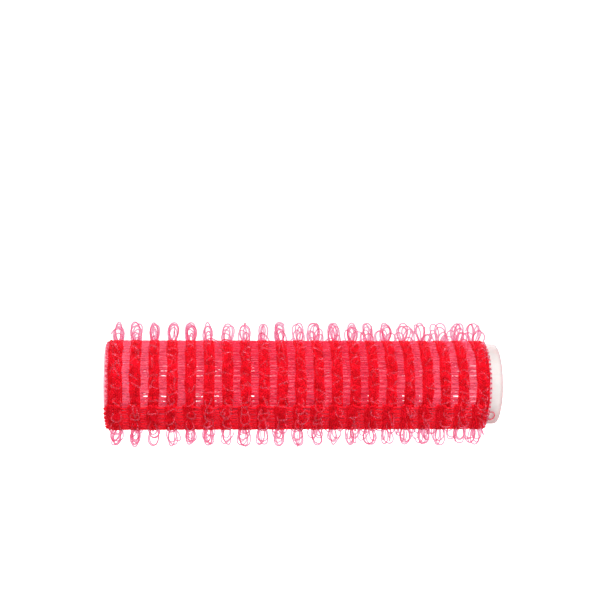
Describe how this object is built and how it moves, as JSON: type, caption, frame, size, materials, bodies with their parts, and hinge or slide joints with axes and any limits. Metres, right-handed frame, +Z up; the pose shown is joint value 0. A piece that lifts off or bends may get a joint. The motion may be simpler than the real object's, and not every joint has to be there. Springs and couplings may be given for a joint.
{
  "type": "self-grip hair roller",
  "caption": "Self-gripping hair roller: a perforated plastic tube wrapped in knitted hook fabric whose nylon loops stand in rows and hold the hair.",
  "frame": {"origin": "on the roller's axis at the middle of the barrel's length", "axes": "+X along the roller's axis towards the end where more of the bare collar shows; +Z up when the roller lies as sold, with the free edge of the fabric's lap on the -Y side below the middle"},
  "size_m": [0.063, 0.0202, 0.0202],
  "materials": {
    "core_plastic": "smooth milk-white moulded polypropylene, slightly translucent",
    "red_yarn": "matte red knitted polyamide yarn",
    "hook_filament": "clear pink nylon monofilament",
    "bond_adhesive": "clear hot-melt glue"
  },
  "bodies": {
    "root": {"core_barrel": "core_plastic", "weft_yarn": "red_yarn", "selvedge_left": "red_yarn", "selvedge_right": "red_yarn", "wale_band_01": "red_yarn", "wale_band_02": "red_yarn", "wale_band_03": "red_yarn", "wale_band_04": "red_yarn", "wale_band_05": "red_yarn", "wale_band_06": "red_yarn", "wale_band_07": "red_yarn", "wale_band_08": "red_yarn", "wale_band_09": "red_yarn", "wale_band_10": "red_yarn", "wale_band_11": "red_yarn", "wale_band_12": "red_yarn", "wale_band_13": "red_yarn", "wale_band_14": "red_yarn", "wale_band_15": "red_yarn", "wale_band_16": "red_yarn", "wale_band_17": "red_yarn", "wale_band_18": "red_yarn", "wale_band_19": "red_yarn", "wale_band_20": "red_yarn", "wale_band_21": "red_yarn", "hook_row_01": "hook_filament", "hook_row_02": "hook_filament", "hook_row_03": "hook_filament", "hook_row_04": "hook_filament", "hook_row_05": "hook_filament", "hook_row_06": "hook_filament", "hook_row_07": "hook_filament", "hook_row_08": "hook_filament", "hook_row_09": "hook_filament", "hook_row_10": "hook_filament", "hook_row_11": "hook_filament", "hook_row_12": "hook_filament", "hook_row_13": "hook_filament", "hook_row_14": "hook_filament", "hook_row_15": "hook_filament", "hook_row_16": "hook_filament", "hook_row_17": "hook_filament", "hook_row_18": "hook_filament", "hook_row_19": "hook_filament", "hook_row_20": "hook_filament", "hook_row_21": "hook_filament", "overlap_bond": "bond_adhesive"}
  },
  "joints": []
}
